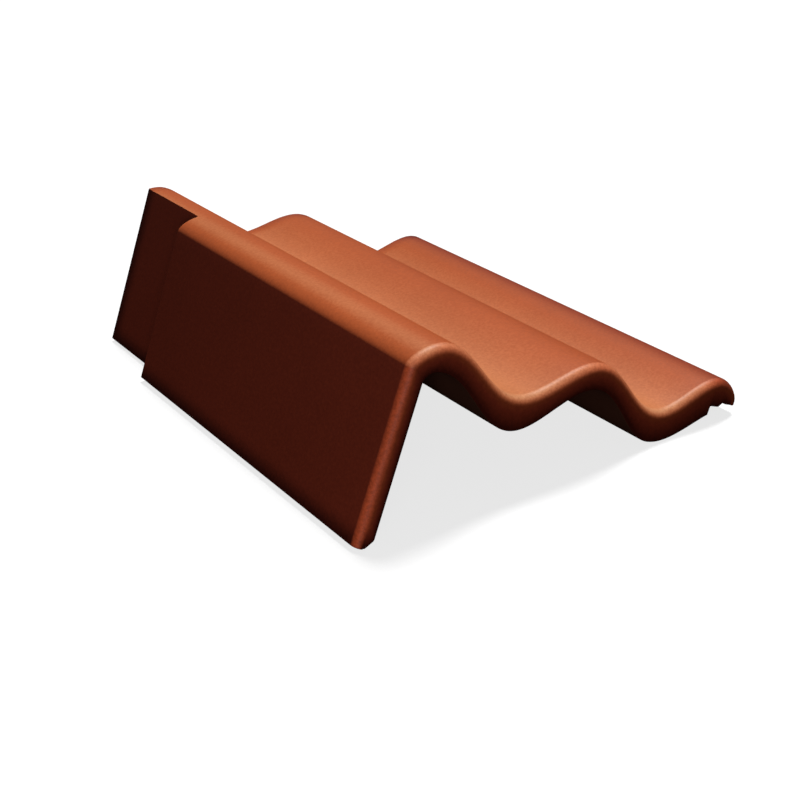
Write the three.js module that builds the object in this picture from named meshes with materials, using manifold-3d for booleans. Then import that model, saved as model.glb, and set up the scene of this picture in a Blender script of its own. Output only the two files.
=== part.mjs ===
// A left-hand verge tile: a double-wave concrete roof tile whose left side turns down into a flap.
// The flap hangs over the barge board, and its head end is set inwards so that the flap of the
// tile above laps over it. Millimetres, +Z up. The tile lies as it rests on level ground, on the
// foot of the flap and the belly of the second trough, with its eave end at the lowest Y.
import * as THREE from 'three';
import * as BufferGeometryUtils from 'three/addons/utils/BufferGeometryUtils.js';
import Module from 'manifold-3d';

// Driving dimensions. The tile's own axes are x across from the flap's outer face, y from the
// eave end to the head, and z up from the tops of the first two crests.
const tileLength = 420;
const tileWidth = 345;

// The waves of the upper face.
const wavePitch = 150;
const waveDepth = 30.6;
const firstCrestX = 29;
const lastCrestRise = 0.3;
const crestThickness = 19.3;
const troughThickness = 25.6;

// The rounded shoulder over the flap and the rounded edge over the side lock.
const shoulderDrop = 19;
const shoulderFullness = 0.4;
const lockEdgeWidth = 25;
const lockEdgeDrop = 18;
const lockEdgeFullness = 0.46;

// The flap.
const flapDepth = 146.8;
const flapThickness = 14.3;
const flapFootChamfer = 6;
const innerCornerWidth = 12;
const innerCornerHeight = 9;

// The head end of the flap, set inwards over its last stretch.
const headFlapLength = 93;
const headFlapSet = 15.3;
const headFlapThickness = 14.3;
const headFlapDepth = 142.6;
const headFlapJoggle = 16;

// The lock along the right side, which covers the neighbouring tile's edge.
const lockSeatWidth = 32;
const lockSeatDepth = 22.3;
const lockSeatCorner = 3;
const lockLipDepth = 19.6;
const lockLipWidth = 14;
const lockGrooveWidth = 8;
const lockGrooveDepth = 18.6;

// The rounded arris at the eave end.
const arrisRadius = 6.8;

// The two nibs that hook over the batten, under the head end.
const nibDepth = 70;
const nibWidth = 34;
const nibThickness = 13;
const nibDraft = 3;
const nibHeadMargin = 18;

// How finely the curves are cut into flats.
const curveStep = 3;
const arrisSteps = 5;

// How near two corners of a mesh have to be to count as one.
const mergeDistance = 1e-5;

// The fullness of a corner round that is a quarter of a circle or an ellipse.
const circleFullness = 4 / 3 * (Math.SQRT2 - 1);

const firstTroughX = firstCrestX + wavePitch / 2;
const secondCrestX = firstCrestX + wavePitch;
const secondTroughX = firstTroughX + wavePitch;
const lastCrestX = tileWidth - lockEdgeWidth;
const headFlapStart = tileLength - headFlapLength;

// A length that takes the shapes that cut others well past the tile.
const cutReach = tileLength + flapDepth;

const lockSeatX = tileWidth - lockSeatWidth;

// Crests and troughs of the upper face.
const upperKnots = [
  [firstCrestX, 0],
  [firstTroughX, -waveDepth],
  [secondCrestX, 0],
  [secondTroughX, -waveDepth],
  [lastCrestX, lastCrestRise],
];

// Crests and troughs of the underside. The last half wave would end at the lip of the lock.
const lowerKnots = [
  [flapThickness + innerCornerWidth, -crestThickness],
  [firstTroughX, -waveDepth - troughThickness],
  [secondCrestX, -crestThickness],
  [secondTroughX, -waveDepth - troughThickness],
  [tileWidth, -lockLipDepth],
];

// Height at x of a line that runs as half cosines from knot to knot.
function heightAt(knots, x) {
  const next = knots.findIndex(([knotX]) => knotX > x);
  const index = next < 0 ? knots.length - 2 : Math.max(0, next - 1);
  const [x0, z0] = knots[index];
  const [x1, z1] = knots[index + 1];
  const rise = (1 - Math.cos(Math.PI * (x - x0) / (x1 - x0))) / 2;
  return z0 + (z1 - z0) * rise;
}

// Points of that line between two places, both of them included.
function waveLine(knots, from, to) {
  const steps = Math.ceil((to - from) / curveStep);
  return Array.from({ length: steps + 1 }, (_, i) => {
    const x = from + (to - from) * i / steps;
    return new THREE.Vector2(x, heightAt(knots, x));
  });
}

// Points of a rounded corner that leaves one point towards the corner and reaches the other from
// it. The fuller the round, the nearer it comes to the corner.
function cornerRound(from, corner, to, fullness) {
  const leave = from.clone().lerp(corner, fullness);
  const reach = to.clone().lerp(corner, fullness);
  const curve = new THREE.CubicBezierCurve(from, leave, reach, to);
  return curve.getPoints(Math.ceil(curve.getLength() / curveStep));
}

// The upper face from the flap's outer face to the right-hand edge.
function upperPoints() {
  const shoulder = cornerRound(
    new THREE.Vector2(0, -shoulderDrop), new THREE.Vector2(0, 0),
    new THREE.Vector2(firstCrestX, 0), shoulderFullness,
  );
  const edge = cornerRound(
    new THREE.Vector2(lastCrestX, lastCrestRise), new THREE.Vector2(tileWidth, lastCrestRise),
    new THREE.Vector2(tileWidth, lastCrestRise - lockEdgeDrop), lockEdgeFullness,
  );
  return [...shoulder, ...waveLine(upperKnots, firstCrestX, lastCrestX).slice(1, -1), ...edge];
}

// The steps of the lock under the right-hand edge, from the waves' underside outwards.
function lockPoints() {
  const seatRound = cornerRound(
    new THREE.Vector2(lockSeatX, -lockSeatDepth - lockSeatCorner),
    new THREE.Vector2(lockSeatX, -lockSeatDepth),
    new THREE.Vector2(lockSeatX + lockSeatCorner, -lockSeatDepth), circleFullness,
  );
  const lipX = tileWidth - lockLipWidth;
  const grooveTop = lipX - lockGrooveWidth / 2;
  return [
    ...seatRound,
    new THREE.Vector2(lipX - lockGrooveWidth, -lockSeatDepth),
    new THREE.Vector2(grooveTop, -lockGrooveDepth),
    new THREE.Vector2(lipX, -lockLipDepth),
    new THREE.Vector2(tileWidth, -lockLipDepth),
  ];
}

const upper = upperPoints();
const waveUnder = waveLine(lowerKnots, flapThickness + innerCornerWidth, lockSeatX);
const lockUnder = lockPoints();

// The corner between the flap's inner face and the underside of the first crest.
const innerCornerTop = waveUnder[0];
const innerCorner = cornerRound(
  new THREE.Vector2(flapThickness, innerCornerTop.y - innerCornerHeight),
  new THREE.Vector2(flapThickness, innerCornerTop.y),
  innerCornerTop, circleFullness,
).slice(0, -1);

// The foot of a flap, from its outer face round to its inner one, which is chamfered.
function footPoints(outerX, thickness, depth) {
  return [
    new THREE.Vector2(outerX, -depth),
    new THREE.Vector2(outerX + thickness - flapFootChamfer, -depth),
    new THREE.Vector2(outerX + thickness, -depth + flapFootChamfer),
  ];
}

const foot = footPoints(0, flapThickness, flapDepth);
const headFoot = footPoints(headFlapSet, headFlapThickness, headFlapDepth);
const section = new THREE.Shape([
  ...foot,
  ...innerCorner,
  ...waveUnder,
  ...lockUnder,
  ...[...upper].reverse(),
]);

const wasm = await Module();
wasm.setup();

function toSolid(geometry) {
  geometry.deleteAttribute('normal');
  geometry.deleteAttribute('uv');
  const merged = BufferGeometryUtils.mergeVertices(geometry, mergeDistance);
  return new wasm.Manifold(new wasm.Mesh({
    numProp: 3,
    vertProperties: new Float32Array(merged.attributes.position.array),
    triVerts: new Uint32Array(merged.index.array),
  }));
}

function toGeometry(solid) {
  const mesh = solid.getMesh();
  const geometry = new THREE.BufferGeometry();
  geometry.setAttribute('position', new THREE.BufferAttribute(mesh.vertProperties, 3));
  geometry.setIndex(new THREE.BufferAttribute(mesh.triVerts, 1));
  return geometry;
}

// A shape in x and z, run along y from one station to another.
function alongTile(shape, from, to) {
  const geometry = new THREE.ExtrudeGeometry(shape, { depth: to - from, bevelEnabled: false });
  geometry.rotateX(Math.PI / 2);
  geometry.translate(0, to, 0);
  return toSolid(geometry);
}

// Everything under the upper face and inside the outer faces, with the eave arris rounded. It
// runs on past the head and below the flap, where the section cuts it off.
function roundedEnvelope() {
  const shape = new THREE.Shape([
    new THREE.Vector2(0, -cutReach),
    new THREE.Vector2(tileWidth, -cutReach),
    ...[...upper].reverse(),
  ]);
  const geometry = new THREE.ExtrudeGeometry(shape, {
    depth: tileLength,
    bevelEnabled: true,
    bevelThickness: arrisRadius,
    bevelSize: arrisRadius,
    bevelOffset: -arrisRadius,
    bevelSegments: arrisSteps,
  });
  geometry.rotateX(Math.PI / 2);
  geometry.translate(0, tileLength + arrisRadius, 0);
  return toSolid(geometry);
}

// What is cut away beside the head end of the flap, the shoulder above it included.
function headCut() {
  const box = new THREE.BoxGeometry(cutReach, cutReach, 2 * cutReach);
  box.translate(headFlapSet - cutReach / 2, headFlapStart + cutReach / 2, 0);
  return toSolid(box);
}

// The head end of the flap, which stands further in than the main flap. A slanting joggle on the
// inside carries it there, and it is rooted in the middle of both walls.
function headFlap() {
  const top = -crestThickness / 2;
  const rootX = flapThickness / 2;
  const innerX = headFlapSet + headFlapThickness;
  const joggleStart = headFlapStart - headFlapJoggle;
  const side = new THREE.Shape([
    new THREE.Vector2(rootX, -headFlapDepth),
    ...headFoot.slice(1),
    new THREE.Vector2(innerX, top),
    new THREE.Vector2(rootX, top),
  ]);
  const plan = new THREE.Shape([
    new THREE.Vector2(rootX, joggleStart),
    new THREE.Vector2(flapThickness, joggleStart),
    new THREE.Vector2(innerX, headFlapStart),
    new THREE.Vector2(innerX, tileLength),
    new THREE.Vector2(headFlapSet, tileLength),
    new THREE.Vector2(headFlapSet, headFlapStart),
    new THREE.Vector2(rootX, headFlapStart),
  ]);
  const prism = new THREE.ExtrudeGeometry(plan, { depth: cutReach, bevelEnabled: false });
  prism.translate(0, 0, -cutReach);
  return alongTile(side, joggleStart, tileLength).intersect(toSolid(prism));
}

// A nib under the tile at x, rooted in the middle of the wall: its eave face is upright, and its
// other faces draw in downwards.
function nib(centreX) {
  const root = (heightAt(upperKnots, centreX) + heightAt(lowerKnots, centreX)) / 2;
  const geometry = new THREE.BoxGeometry(nibWidth, nibThickness, root + nibDepth);
  const position = geometry.attributes.position;
  for (let i = 0; i < position.count; i += 1) {
    if (position.getZ(i) < 0) {
      position.setX(i, position.getX(i) - Math.sign(position.getX(i)) * nibDraft);
      position.setY(i, Math.min(position.getY(i), nibThickness / 2 - nibDraft));
    }
  }
  const centreY = tileLength - nibHeadMargin - nibThickness / 2;
  geometry.translate(centreX, centreY, (root - nibDepth) / 2);
  return toSolid(geometry);
}

const nibCentres = [firstTroughX, secondCrestX];
const envelope = roundedEnvelope();
let tile = alongTile(section, 0, tileLength)
  .intersect(envelope)
  .subtract(headCut())
  .add(headFlap().intersect(envelope));
for (const x of nibCentres) {
  tile = tile.add(nib(x));
}

// The tile rests on the inner edge of one of the flap's two feet and on the belly of a trough.
// From each foot the ground rises to the underside point that lies lowest as seen from it, and
// the foot from which it rises most steeply is the one that carries the tile.
const nibEdges = nibCentres.map((x) => new THREE.Vector2(x + nibWidth / 2 - nibDraft, -nibDepth));
const underPoints = [...waveUnder, ...lockUnder, ...nibEdges];
const groundSlopes = [foot[1], headFoot[1]].map((edge) => (
  Math.min(...underPoints.map(({ x, y }) => (y - edge.y) / (x - edge.x)))
));
const restSlope = Math.max(...groundSlopes);
const restTilt = Math.atan(restSlope);

const material = new THREE.MeshStandardMaterial({ color: 0xb55f3b, roughness: 0.6, metalness: 0 });
const mesh = new THREE.Mesh(toGeometry(tile), material);
mesh.name = 'verge_tile';

const turned = new THREE.Group();
turned.rotation.y = restTilt;
turned.add(mesh);
turned.updateMatrixWorld(true);
const box = new THREE.Box3().setFromObject(turned, true);
const centre = box.getCenter(new THREE.Vector3());
turned.position.set(-centre.x, -centre.y, -box.min.z);

const group = new THREE.Group();
group.add(turned);

export default group;
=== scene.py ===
import bmesh
import bpy
import numpy as np
from mathutils import Matrix, Vector


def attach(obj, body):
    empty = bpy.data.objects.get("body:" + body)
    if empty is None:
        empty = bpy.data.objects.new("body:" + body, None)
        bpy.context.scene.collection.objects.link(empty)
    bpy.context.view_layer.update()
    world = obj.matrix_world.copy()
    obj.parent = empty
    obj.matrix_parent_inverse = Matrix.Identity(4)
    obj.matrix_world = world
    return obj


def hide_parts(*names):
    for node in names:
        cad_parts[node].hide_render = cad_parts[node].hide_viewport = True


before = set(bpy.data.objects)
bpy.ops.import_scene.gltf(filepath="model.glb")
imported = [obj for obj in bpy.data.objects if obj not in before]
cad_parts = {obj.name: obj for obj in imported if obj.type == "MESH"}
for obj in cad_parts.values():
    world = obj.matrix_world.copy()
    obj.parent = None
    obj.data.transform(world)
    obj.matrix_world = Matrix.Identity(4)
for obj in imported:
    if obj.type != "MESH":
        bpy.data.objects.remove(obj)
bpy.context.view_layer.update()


# The tile

# One piece of concrete, coloured right through: two and a half waves, a flap down the left side and
# a lock along the right. The wet mix is pressed between a pallet and a roller, so both faces come
# out smooth, and it is cut to length and rounded over at the eave. Two nibs hang it on a batten.

# Sizes in millimetres, in the tile's own axes: x runs across it from the flap, y from the eave to
# the head, and z up from the crests.
LENGTH = 420.0
WIDTH = 345.0

# The waves of the upper face and of the underside.
CREST_X = (29.0, 179.0, 320.0)
TROUGH_X = (104.0, 254.0)
LAST_CREST_Z = 0.3
TROUGH_Z = -30.6
CREST_UNDER_Z = -19.3
TROUGH_UNDER_Z = -56.2

# The rounded shoulder over the flap and the rounded edge over the lock.
SHOULDER_DROP = 19.0
SHOULDER_FULLNESS = 0.4
EDGE_DROP = 18.0
EDGE_FULLNESS = 0.46

# The flap, with the chamfer inside its foot and the round in the corner under the shoulder.
FLAP_DEPTH = 146.8
FLAP_THICK = 14.3
FOOT_CHAMFER = 6.0
CORNER_WIDTH = 12.0
CORNER_HEIGHT = 9.0
CORNER_FULLNESS = 0.552

# The head end of the flap, which is set in. Its inner face slants inwards over the joggle, and its
# foot is cut a little shorter, with the difference spread over the stretch above it.
SET_IN = 15.3
SET_IN_Y = 327.0
JOGGLE = 16.0
HEAD_FLAP_DEPTH = 142.6
SHORTENED_FROM = 100.0
SHORTENED_TO = 140.0

# The lock under the right-hand edge: a seat, a groove and a lip.
SEAT_X = 313.0
SEAT_Z = -22.3
GROOVE_X = (323.0, 327.0, 331.0)
GROOVE_Z = -18.6
LIP_Z = -19.6
LIP_WIDTH = 10.0

# Radii: of the arris at the eave, of the edges below it, at the step and at the head, of the lock's
# corners, and of the sharp outer corners at the foot and the lip. The rim of an end face lies a
# little inside its round.
ARRIS = 6.8
SMALL_ARRIS = 1.2
LOCK_ROUND = 0.8
SHARP_ROUND = 0.45
RIM = 0.5

# The two nibs that hook over the batten. Their sides are given by how much of the nib stands at a
# distance in from the edge of its root: a fillet, the drafted side and a rounded lower edge.
NIB_X = (104.0, 179.0)
NIB_HALF = 17.0
NIB_Z = -70.0
NIB_EAVE_Y = 389.0
NIB_HEAD_Y = 402.0
NIB_SIDE = (-1.6, -0.8, 0.0, 0.5, 2.5, 3.0, 3.8)
NIB_SIDE_RISE = (0.0, 0.03, 0.12, 0.25, 0.9, 0.98, 1.0)

# Shares of painted shading, lighter on faces that look up: on an upright face, what a level face
# gets on top, how much lighter the troughs and the shoulder are painted, and how much darker each
# crest and the head. The cut ends get their own share, and on the flap the painted shading darkens
# towards the foot and the head.
UPRIGHT_SHADING = 0.35
LEVEL_SHADING = 0.45
TROUGH_LIGHTENING = 0.2
SHOULDER_LIGHTENING = 0.16
SHOULDER_LIGHTENING_X = 12.0
SHOULDER_LIGHTENING_WIDTH = 8.0
CREST_DARKENING = (0.04, 0.12, 0.38)
CREST_DARKENING_WIDTH = 15.0
HEAD_DARKENING = 0.3
HEAD_DARKENING_WIDTH = 9.0
EAVE_END_SHADING = 0.45
HEAD_END_SHADING = 0.2
FOOT_FADE = 16.0
HEAD_FADE = 18.0

UPPER = np.array([(CREST_X[0], 0), (TROUGH_X[0], TROUGH_Z), (CREST_X[1], 0),
                  (TROUGH_X[1], TROUGH_Z), (CREST_X[2], LAST_CREST_Z)], float)
LOWER = np.array([(FLAP_THICK + CORNER_WIDTH, CREST_UNDER_Z), (TROUGH_X[0], TROUGH_UNDER_Z),
                  (CREST_X[1], CREST_UNDER_Z), (TROUGH_X[1], TROUGH_UNDER_Z), (WIDTH, LIP_Z)], float)


def wave(knots, x):
    """Height at x of half cosines from knot to knot: z0 + (z1 - z0) (1 - cos(pi t)) / 2, where t is
    the share of the way from one knot to the next."""
    i = np.clip(np.searchsorted(knots[:, 0], x, side="right") - 1, 0, len(knots) - 2)
    t = (x - knots[i, 0]) / (knots[i + 1, 0] - knots[i, 0])
    return knots[i, 1] + (knots[i + 1, 1] - knots[i, 1]) * (1 - np.cos(np.pi * t)) / 2


def round_over(start, corner, end, fullness, steps):
    """A cubic curve from start to end whose two handles lie the given share of the way to corner:
    (1-s)^3 a + 3 (1-s)^2 s h + 3 (1-s) s^2 k + s^3 b."""
    a, c, b = (np.asarray(p, float) for p in (start, corner, end))
    h, k = a + (c - a) * fullness, b + (c - b) * fullness
    s = np.linspace(0, 1, steps + 1)[:, None]
    return (1 - s) ** 3 * a + 3 * (1 - s) ** 2 * s * h + 3 * (1 - s) * s ** 2 * k + s ** 3 * b


def eased(points, radius, steps=4):
    """A line through points whose inner corners are swapped for parabolas that leave and meet it one
    radius from the corner, or nearly half way along a shorter side."""
    p = np.asarray(points, float)
    side = np.diff(p, axis=0)
    length = np.linalg.norm(side, axis=1, keepdims=True)
    step = side / length * np.minimum(radius, 0.45 * length)
    s = np.linspace(0, 1, steps + 1)[None, :, None]
    corner, before, after = p[1:-1, None], (p[1:-1] - step[:-1])[:, None], (p[1:-1] + step[1:])[:, None]
    curves = (1 - s) ** 2 * before + 2 * s * (1 - s) * corner + s ** 2 * after
    return np.concatenate([p[:1], curves.reshape(-1, 2), p[-1:]])


def smooth(share):
    """An S-curve from 0 to 1 over a share that is cut off at both: s^2 (3 - 2 s)."""
    s = np.clip(share, 0, 1)
    return s ** 2 * (3 - 2 * s)


def outer_line():
    """The section's outer line, from the foot of the flap up over the shoulder and along the waves
    to the lip of the lock, and at each point the direction into the wall. That is the line's own
    normal, but level on the flap and the lip, and shorter where a line that is drawn in would cross
    itself: by a quarter at the foot, by a sixth at the bend over the flap, and under the lip."""
    shoulder = round_over((0, -SHOULDER_DROP), (0, 0), (CREST_X[0], 0), SHOULDER_FULLNESS, 40)
    # The step at the head cuts the shoulder at SET_IN, so it needs a point there.
    cut = np.argmax(shoulder[:, 0] > SET_IN)
    share = (SET_IN - shoulder[cut - 1, 0]) / (shoulder[cut, 0] - shoulder[cut - 1, 0])
    at_cut = shoulder[cut - 1] + share * (shoulder[cut] - shoulder[cut - 1])
    shoulder = np.insert(shoulder, cut, at_cut, axis=0)
    # The flap has most of its points where the painted shading darkens towards the foot.
    foot = eased([(1, -FLAP_DEPTH), (0, -FLAP_DEPTH), (0, -SHOULDER_DROP - 8)], SHARP_ROUND)
    height = -FLAP_DEPTH + np.array([4, 8, 12, FOOT_FADE, 60])
    foot = np.insert(foot, len(foot) - 1, np.stack([np.zeros(len(height)), height], 1), axis=0)
    x = np.linspace(CREST_X[0], CREST_X[2], 195)[1:-1]
    edge = round_over((CREST_X[2], LAST_CREST_Z), (WIDTH, LAST_CREST_Z),
                      (WIDTH, LAST_CREST_Z - EDGE_DROP), EDGE_FULLNESS, 24)
    lip = eased([edge[-1], (WIDTH, LIP_Z), (WIDTH - 1, LIP_Z)], SHARP_ROUND)[1:]
    line = np.concatenate([foot, shoulder, np.stack([x, wave(UPPER, x)], 1), edge, lip])
    along = np.gradient(line, axis=0)
    along /= np.linalg.norm(along, axis=1, keepdims=True)
    inwards = np.stack([along[:, 1], -along[:, 0]], 1)
    inwards[:len(foot) + 1] = (1, 0)
    inwards[:len(foot) - 1, 0] -= line[:len(foot) - 1, 0] / (FLAP_THICK - FOOT_CHAMFER)
    above_foot = np.clip((line[:, 1] + FLAP_DEPTH) / FOOT_FADE, 0, 1)
    near_bend = np.exp(-((line[:, 1] + SHOULDER_DROP) / 11) ** 2)
    shorter = (0.75 + 0.25 * above_foot) * (1 - 0.16 * near_bend)
    inwards *= np.where(line[:, 0] < CREST_X[0], shorter, 1)[:, None]
    inwards[-len(lip):] = (-1, 0)
    inwards[-len(lip):, 0] += (WIDTH - line[-len(lip):, 0]) / LIP_WIDTH
    return line, inwards


def head_line(outer, into_outer):
    """The outer line at the head, with its directions into the wall: the flap is moved in by SET_IN,
    its foot is raised, and the shoulder is cut off upright above it."""
    left = outer[:, 0] < SET_IN
    on_flap = outer[:, 1] < -SHOULDER_DROP
    raised = np.clip((-outer[:, 1] - SHORTENED_FROM) / (SHORTENED_TO - SHORTENED_FROM), 0, 1)
    x = np.where(on_flap & left, outer[:, 0] + SET_IN, np.maximum(outer[:, 0], SET_IN))
    z = outer[:, 1] + (FLAP_DEPTH - HEAD_FLAP_DEPTH) * raised
    return np.stack([x, z], 1), np.where((left & ~on_flap)[:, None], (1.0, 0.0), into_outer)


def nib_rise(distance):
    """How much of a nib stands at a distance in from the edge of its root, by straight lines between
    the points of its side."""
    return np.interp(distance, NIB_SIDE, NIB_SIDE_RISE)


def inner_line(joggle, nib):
    """The section's inner line from the foot of the flap to the lock, and at each point the
    direction into the wall. The flap's inner face moves in by the joggle's share of the step, and
    nib is the share of the nibs' height at this station."""
    face = FLAP_THICK + SET_IN * joggle
    depth = FLAP_DEPTH + (HEAD_FLAP_DEPTH - FLAP_DEPTH) * joggle
    corner_end = face + CORNER_WIDTH
    # Only the points left of steady_x make way for the joggle. The others keep their places, and
    # the nibs' sides have points of their own.
    steady_x = 80.0
    nib_points = [c + side * (np.array(NIB_SIDE) - NIB_HALF) for c in NIB_X for side in (1, -1)]
    steady = np.concatenate([np.linspace(steady_x, SEAT_X, 150), *nib_points])
    x = np.concatenate([np.linspace(corner_end, steady_x, 40)[:-1], np.unique(np.round(steady, 4))])
    z = wave(LOWER, x)
    z += (NIB_Z - z) * sum(nib_rise(NIB_HALF - np.abs(x - c)) for c in NIB_X) * nib
    # The last point of the foot only gives the direction up the flap, and is left out of the line.
    foot = eased([(face - FOOT_CHAMFER - 0.6, -depth), (face - FOOT_CHAMFER, -depth),
                  (face, -depth + FOOT_CHAMFER), (face, -depth / 2)], SMALL_ARRIS)[:-1]
    corner = round_over((face, z[0] - CORNER_HEIGHT), (face, z[0]), (corner_end, z[0]),
                        CORNER_FULLNESS, 16)
    lock = eased([(SEAT_X, z[-1]), (SEAT_X, SEAT_Z), (GROOVE_X[0], SEAT_Z), (GROOVE_X[1], GROOVE_Z),
                  (GROOVE_X[2], LIP_Z), (WIDTH - LIP_WIDTH, LIP_Z)], LOCK_ROUND)
    line = np.concatenate([foot, corner, np.stack([x, z], 1)[1:-1], lock])
    along = np.gradient(line, axis=0)
    along /= np.maximum(np.linalg.norm(along, axis=1, keepdims=True), 1e-9)
    return line, np.stack([-along[:, 1], along[:, 0]], 1)


def shading_share(line, into, y, turned, end_shading):
    """How light the painted shading is on each point of the outer line at y, from 0 to 1, lighter the
    more the surface faces up: a + b u^0.42, where u is how far the surface faces up, a the share on
    an upright face, and b what is added on a level one. In a round it passes over into the share of
    the end face."""
    x, z = line.T
    up = np.clip(-into[:, 1], 0, 1)
    on_flap = x < CREST_X[0]
    level = LEVEL_SHADING + TROUGH_LIGHTENING * np.clip(z / TROUGH_Z, 0, 1) * (x > CREST_X[0])
    level += SHOULDER_LIGHTENING * np.exp(-((x - SHOULDER_LIGHTENING_X) / SHOULDER_LIGHTENING_WIDTH) ** 2)
    for crest, loss in zip(CREST_X, CREST_DARKENING):
        level -= loss * np.exp(-((np.minimum(x, CREST_X[2]) - crest) / CREST_DARKENING_WIDTH) ** 2)
    level -= HEAD_DARKENING * np.exp(-((LENGTH - y) / HEAD_DARKENING_WIDTH) ** 2)
    from_foot = np.where(on_flap, smooth((z - z[0]) / FOOT_FADE), 1)
    from_head = np.where(on_flap & (up < 0.3), smooth((LENGTH - y) / HEAD_FADE), 1)
    full = (UPRIGHT_SHADING + level * up ** 0.42) * from_head
    return (full * turned + end_shading * (1 - turned)) * from_foot


def highlight_reach(line, into):
    """How much painted highlight the eave arris gets at each point of the outer line: fully where it
    looks to the left, 0.8 where it looks up, 0.4 where it looks to the right, and none past the last
    crest."""
    looks_left = np.clip(0.8 + 0.4 * into[:, 0], 0, 1)
    before_lock = np.clip((CREST_X[2] + 6 - line[:, 0]) / 25, 0, 1)
    return looks_left * before_lock


def tile_rings():
    """The closed section at each station along the tile: the outer line, then the inner line back.
    A round of radius r draws a line in by r (1 - sin a) at r (1 - cos a) from the end, where a is
    how far it has turned from the end face. With the rings come three shares for each point: how
    light the painted shading is, how much painted highlight it gets, and whether it is on the
    underside. The painted highlight on the eave arris goes by (sin 2a)^0.7 (sin a)^0.5."""
    outer, into_outer = outer_line()
    head, into_head = head_line(outer, into_outer)
    left = outer[:, 0] < SET_IN
    on_flap = outer[:, 1] < -SHOULDER_DROP
    corner_z = head[np.argmin(left), 1]
    rings = []
    shares = {"painted_shading": [], "painted_highlight": [], "underside": []}

    def ring(y, at_head=False, joggle=0.0, nib=0.0, draw_outer=0.0, draw_inner=0.0, draw_step=0.0,
             turned=1.0, end_shading=HEAD_END_SHADING, highlight=0.0):
        line, into = (head, into_head) if at_head else (outer, into_outer)
        top = line + into * draw_outer
        if at_head:
            # The corner over the set-in flap is mitred, so that its two faces are drawn in alike.
            top[:, 0] = np.maximum(top[:, 0], SET_IN + draw_outer * ~on_flap)
            top[left, 1] = np.minimum(top[left, 1], corner_z - draw_outer)
        top += into * draw_step * np.clip((SET_IN - line[:, :1]) / 2, 0, 1)
        under, into_under = inner_line(joggle, nib)
        section = np.concatenate([top, (under + into_under * draw_inner)[::-1]])
        rings.append(np.stack([section[:, 0], np.full(len(section), y), section[:, 1]], 1))
        is_under = np.arange(len(section)) >= len(line)
        # Each point gets its share of painted shading and of painted highlight.
        shares["painted_shading"].append(np.pad(shading_share(line, into, y, turned, end_shading), (0, len(under))))
        shares["painted_highlight"].append(np.pad(highlight * highlight_reach(line, into), (0, len(under))))
        shares["underside"].append(is_under * float(y > SMALL_ARRIS / 2))

    def head_ring(y, **rest):
        ring(y, at_head=True, joggle=1, **rest)

    # The eave end and its arris, which is large above and small below.
    # The eave end face is painted dark, darkest at its lower edge, as painted shade, and its arris gets a
    # painted highlight.
    ring(0, draw_outer=ARRIS + RIM, draw_inner=SMALL_ARRIS + RIM, turned=0.0, end_shading=EAVE_END_SHADING)
    for a in np.radians(np.linspace(0, 90, 13)):
        y = ARRIS * (1 - np.cos(a))
        close = max(0.0, 1 - y / SMALL_ARRIS)
        ring(y, draw_outer=ARRIS * (1 - np.sin(a)), draw_inner=SMALL_ARRIS * (1 - np.sqrt(1 - close ** 2)),
             turned=np.sin(a), end_shading=EAVE_END_SHADING, highlight=abs(np.sin(2 * a)) ** 0.7 * np.sin(a) ** 0.5)

    # The body, the joggle inside the flap, and the small round on the edge of the step outside.
    joggle_start = SET_IN_Y - JOGGLE
    small_turns = np.radians(np.linspace(0, 90, 5))[::-1]
    for y in np.linspace(ARRIS, joggle_start, 14)[1:]:
        ring(y)
    for t in np.linspace(0, 1, 7)[1:-1]:
        if joggle_start + JOGGLE * t < SET_IN_Y - SMALL_ARRIS:
            ring(joggle_start + JOGGLE * t, joggle=t)
    for a in small_turns:
        y = SET_IN_Y - SMALL_ARRIS * (1 - np.cos(a))
        ring(y, joggle=(y - joggle_start) / JOGGLE, draw_step=SMALL_ARRIS * (1 - np.sin(a)))

    # The head end: the step, the nibs with their upright eave face, and the round at the very end.
    for y in (SET_IN_Y, 345, 362, 378, 384, NIB_EAVE_Y):
        head_ring(y)
    head_ring(NIB_EAVE_Y, nib=0.97)
    head_ring(NIB_EAVE_Y + 0.8, nib=1)
    for distance in NIB_SIDE[::-1]:
        head_ring(NIB_HEAD_Y - distance, nib=float(nib_rise(distance)))
    for y in (407, 411, 415):
        head_ring(y)
    for a in small_turns:
        y = LENGTH - SMALL_ARRIS * (1 - np.cos(a))
        draw = SMALL_ARRIS * (1 - np.sin(a))
        head_ring(y, draw_outer=draw, draw_inner=draw, turned=np.sin(a))
    head_ring(LENGTH, draw_outer=SMALL_ARRIS + RIM, draw_inner=SMALL_ARRIS + RIM, turned=0.0)
    return np.array(rings), len(outer), shares


def lying(points):
    """Turns the tile about its length into the pose in which it lies on level ground, moves it over
    the origin and gives metres. It stands on the foot of the flap's head end and on the belly of
    the second trough, and the turn and the moves are those of the part's source."""
    tilt = np.radians(19.880085)
    move_x = -134.4787
    move_z = 142.1272
    c, s = np.cos(tilt), np.sin(tilt)
    x, y, z = np.moveaxis(points, -1, 0)
    placed = np.stack([x * c + z * s + move_x, y - LENGTH / 2, -x * s + z * c + move_z], -1)
    return placed / 1000


def ring_faces(count, size):
    """Quads between neighbouring rings, going round each ring and closing on its first point."""
    r, i = np.meshgrid(np.arange(count - 1), np.arange(size), indexing="ij")
    j = (i + 1) % size
    corners = [r * size + i, r * size + j, (r + 1) * size + j, (r + 1) * size + i]
    return np.stack(corners, -1).reshape(-1, 4)


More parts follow.
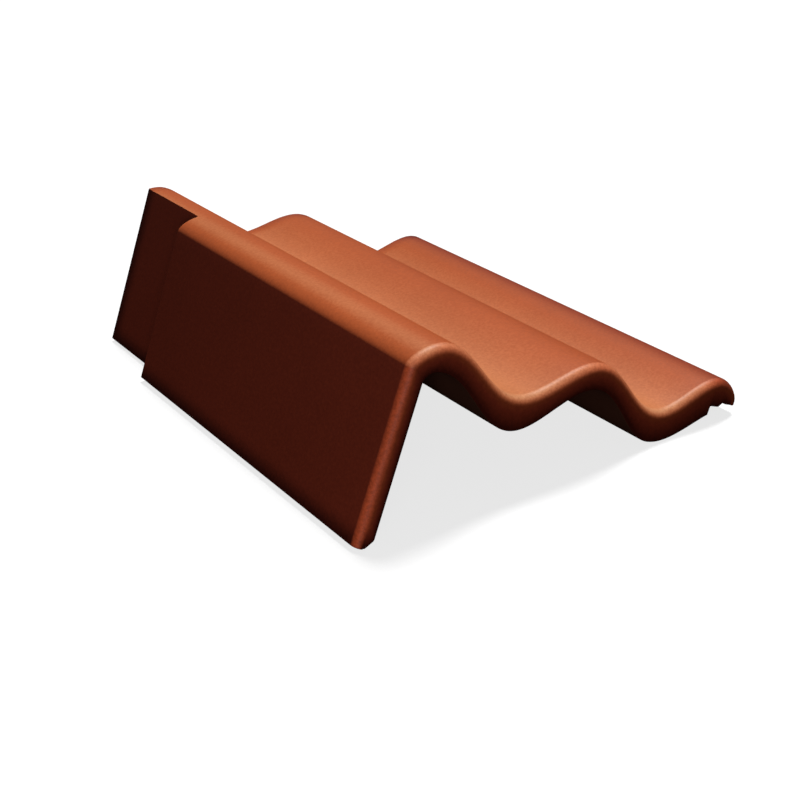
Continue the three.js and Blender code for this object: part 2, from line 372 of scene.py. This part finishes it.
def end_faces(section, outer_count):
    """Triangles across the wall from the outer line to the inner one. Both lines are measured down
    the flap by height and then across by x, and each edge takes the point opposite as its apex."""
    # To the left of this x, both lines belong to the flap or to the bend over it.
    flap_side = 42.0
    outer, inner = section[:outer_count], section[:outer_count - 1:-1]
    along = [line[:, 0] + np.minimum(0, line[:, 2] + SHOULDER_DROP) * (line[:, 0] < flap_side)
             for line in (outer, inner)]
    middle = [(a[1:] + a[:-1]) / 2 for a in map(np.maximum.accumulate, along)]
    last = len(section) - 1
    i, j = np.arange(len(outer) - 1), np.arange(len(inner) - 1)
    inner_apex = np.searchsorted(middle[1], middle[0], side="left")
    outer_apex = np.searchsorted(middle[0], middle[1], side="right")
    return np.concatenate([np.stack([i + 1, i, last - inner_apex], 1),
                           np.stack([outer_apex, last - j, last - j - 1], 1)])


rings, outer_count, shares = tile_rings()
count, size = rings.shape[:2]
eave_end = end_faces(rings[0], outer_count)
head_end = end_faces(rings[-1], outer_count)[:, ::-1] + (count - 1) * size
faces = ring_faces(count, size).tolist() + eave_end.tolist() + head_end.tolist()
mesh = bpy.data.meshes.new("verge_tile_cast")
mesh.from_pydata(lying(rings).reshape(-1, 3).tolist(), [], faces)
for name, values in shares.items():
    attribute = mesh.attributes.new(name, "FLOAT", "POINT")
    attribute.data.foreach_set("value", np.ravel(values).astype(np.float32))

# Where two stations share a y, most of their points fall together, and they are merged.
shell = bmesh.new()
shell.from_mesh(mesh)
bmesh.ops.remove_doubles(shell, verts=shell.verts, dist=1e-6)
shell.to_mesh(mesh)
shell.free()
mesh.set_sharp_from_angle(angle=np.radians(38))
tile = bpy.data.objects.new("verge_tile_cast", mesh)
bpy.context.scene.collection.objects.link(tile)


def linear(code):
    """The linear colour of an sRGB hex code."""
    c = np.array([int(code[i:i + 2], 16) for i in (1, 3, 5)]) / 255
    return (*np.where(c <= 0.04045, c / 12.92, ((c + 0.055) / 1.055) ** 2.4), 1.0)


def add(tree, kind, settings=None, **inputs):
    """Adds a node with its settings, and sets each named input to a value or links it to a socket.
    An input that is called i and a number is taken by that number."""
    node = tree.nodes.new(kind)
    for name, value in (settings or {}).items():
        setattr(node, name, value)
    for name, value in inputs.items():
        by_number = name[0] == "i" and name[1:].isdigit()
        socket = node.inputs[int(name[1:]) if by_number else name.replace("_", " ")]
        if isinstance(value, bpy.types.NodeSocket):
            tree.links.new(value, socket)
        else:
            socket.default_value = value
    return node


# Iron-oxide coloured concrete under a sprayed acrylic coat: a half-matt terracotta skin with painted
# shading, darker on upright faces and lighter on faces that look up, a painted highlight along the
# eave arris, a fine sandy grain, and faint clouds where the mist of the spray fell unevenly. The sand
# is under a millimetre wide, too fine to show, so the grain is drawn coarser. The underside has no
# coat and stays the brown of the mix, drawn darker as painted shade.
CLOUD_MM = 71.43
GRAIN_MM = 2.2222
concrete = bpy.data.materials.new("acrylic coated concrete")
concrete.use_nodes = True
tree = concrete.node_tree
shader = tree.nodes["Principled BSDF"]
place = add(tree, "ShaderNodeTexCoord").outputs["Object"]
# The painted shading and the painted highlight come in as shares on the mesh's points.
painted_shading, painted_highlight, underside = (add(tree, "ShaderNodeAttribute", {"attribute_name": name}).outputs["Fac"]
                           for name in ("painted_shading", "painted_highlight", "underside"))
cloud = add(tree, "ShaderNodeTexNoise", Vector=place, Scale=1000 / CLOUD_MM, Detail=3.0,
            Roughness=0.55).outputs["Fac"]
grain = add(tree, "ShaderNodeTexNoise", Vector=place, Scale=1000 / GRAIN_MM, Detail=3.0,
            Roughness=0.6).outputs["Fac"]

# The colour of the painted shading, from darkest to lightest, a little uneven with the grain.
uneven = add(tree, "ShaderNodeMapRange", Value=grain, From_Min=0.35, From_Max=0.65, To_Min=-0.022,
             To_Max=0.022)
shading_with_grain = add(tree, "ShaderNodeMath", {"operation": "ADD"}, i0=painted_shading, i1=uneven.outputs["Result"])
shading_ramp = add(tree, "ShaderNodeValToRGB", Fac=shading_with_grain.outputs[0])
ramp = shading_ramp.color_ramp.elements
ramp[0].color, ramp[1].color = linear("#40120A"), linear("#C2764A")
for position, code in ((0.35, "#7E2F1D"), (0.8, "#AF5428")):
    ramp.new(position).color = linear(code)

# The painted highlight on the arris: orange where the painted shading is dark, and pale where
# it is light.
full = add(tree, "ShaderNodeMapRange", Value=painted_shading, From_Min=0.4, From_Max=0.9, To_Min=0.0, To_Max=1.0)
highlight_colour = add(tree, "ShaderNodeMix", {"data_type": "RGBA"}, i0=full.outputs["Result"],
           i6=linear("#E8653A"), i7=linear("#DD9A6E"))
highlight_grain = add(tree, "ShaderNodeMapRange", Value=grain, From_Min=0.35, From_Max=0.6, To_Min=0.7, To_Max=1.0)
highlight_amount = add(tree, "ShaderNodeMath", {"operation": "MULTIPLY"}, i0=painted_highlight, i1=highlight_grain.outputs["Result"])
coated = add(tree, "ShaderNodeMix", {"data_type": "RGBA"}, i0=highlight_amount.outputs[0],
             i6=shading_ramp.outputs["Color"], i7=highlight_colour.outputs[2])

# The bare mix below, its own brown drawn darker as painted shade, and the clouds and the grain
# over everything.
bare_mix_and_shade = add(tree, "ShaderNodeMix", {"data_type": "RGBA"}, i0=cloud, i6=linear("#4C2B20"),
           i7=linear("#5A3528"))
colour = add(tree, "ShaderNodeMix", {"data_type": "RGBA"}, i0=underside, i6=coated.outputs[2],
             i7=bare_mix_and_shade.outputs[2])
mottle = add(tree, "ShaderNodeMapRange", Value=cloud, From_Min=0.3, From_Max=0.7, To_Min=0.96,
             To_Max=1.04)
speck = add(tree, "ShaderNodeMapRange", Value=grain, From_Min=0.35, From_Max=0.65, To_Min=0.95,
            To_Max=1.05)
shade = add(tree, "ShaderNodeMath", {"operation": "MULTIPLY"}, i0=mottle.outputs["Result"],
            i1=speck.outputs["Result"])
tone = add(tree, "ShaderNodeVectorMath", {"operation": "SCALE"}, i0=colour.outputs[2],
           Scale=shade.outputs[0])
bump = add(tree, "ShaderNodeBump", Strength=0.15, Distance=0.0004, Height=grain)
tree.links.new(tone.outputs["Vector"], shader.inputs["Base Color"])
tree.links.new(bump.outputs["Normal"], shader.inputs["Normal"])
shader.inputs["Roughness"].default_value = 0.48
shader.inputs["Specular IOR Level"].default_value = 0.22
mesh.materials.append(concrete)

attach(tile, "root")
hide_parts("verge_tile")


# Floor, light and camera

# A sheet of matt white paper that gives off some light itself, so that only a faint shadow lies on
# it. It throws no light up at the tile, which keeps the flap and the underside as dark as in the
# photograph.
bpy.ops.mesh.primitive_plane_add(size=40, location=(0, 0, 0))
floor = bpy.context.object
floor.name = "floor"
paper = bpy.data.materials.new("white paper")
paper.use_nodes = True
sheet = paper.node_tree.nodes["Principled BSDF"]
sheet.inputs["Base Color"].default_value = linear("#8C8C8C")
sheet.inputs["Roughness"].default_value = 0.9
sheet.inputs["Emission Color"].default_value = (1, 1, 1, 1)
sheet.inputs["Emission Strength"].default_value = 0.76
floor.data.materials.append(paper)
floor.visible_diffuse = floor.visible_glossy = False

# A soft key light above the tile, a little to its right and behind it, and two weak panels. One
# brightens the eave end and the flap, and the other, which leaves no gloss, the head end.
sun = bpy.data.lights.new("key", "SUN")
sun.energy, sun.angle = 3.65, np.radians(14)
key = bpy.data.objects.new("key", sun)
key.rotation_euler = Vector((0.34, 0.2, 0.92)).to_track_quat("Z", "Y").to_euler()
bpy.context.scene.collection.objects.link(key)
for name, watts, glossy, stand, target in (
        ("fill", 3.6, True, (-0.8, -1.02, 0.34), (0.0, 0.0, 0.06)),
        ("back", 1.8, False, (0.15, 1.25, 0.22), (0.0, 0.2, 0.04))):
    lamp = bpy.data.lights.new(name, "AREA")
    lamp.size, lamp.energy = 0.5, watts
    panel = bpy.data.objects.new(name, lamp)
    panel.location = stand
    panel.rotation_euler = (Vector(stand) - Vector(target)).to_track_quat("Z", "Y").to_euler()
    panel.visible_camera = False
    panel.visible_glossy = glossy
    bpy.context.scene.collection.objects.link(panel)

# The surround is white to the camera. It lights the tile weakly, from the horizon upwards.
world = bpy.data.worlds.new("surround")
world.use_nodes = True
sky = world.node_tree
upwards = add(sky, "ShaderNodeSeparateXYZ", Vector=add(sky, "ShaderNodeTexCoord").outputs["Generated"])
above = add(sky, "ShaderNodeMapRange", Value=upwards.outputs["Z"], From_Min=-0.1, From_Max=0.3,
            To_Min=0.0, To_Max=0.08)
seen = add(sky, "ShaderNodeLightPath").outputs["Is Camera Ray"]
strength = add(sky, "ShaderNodeMath", {"operation": "MAXIMUM"}, i0=above.outputs["Result"], i1=seen)
background = sky.nodes["Background"]
background.inputs["Color"].default_value = (1, 1, 1, 1)
sky.links.new(strength.outputs[0], background.inputs["Strength"])
bpy.context.scene.world = world

# The camera's place, aim, roll and lens are fitted to the photograph.
camera = bpy.data.objects.new("camera", bpy.data.cameras.new("camera"))
camera.data.sensor_width = 36.0
camera.data.lens = 59.945
camera.location = (-0.59409, -0.83603, 0.481)
aim = (Vector((-0.01842, -0.02656, -0.00593)) - camera.location).to_track_quat("-Z", "Y")
roll = Matrix.Rotation(np.radians(0.3335), 4, "Z")
camera.matrix_world = Matrix.Translation(camera.location) @ aim.to_matrix().to_4x4() @ roll
bpy.context.scene.collection.objects.link(camera)
bpy.context.scene.camera = camera
bpy.context.scene.view_settings.view_transform = "Standard"
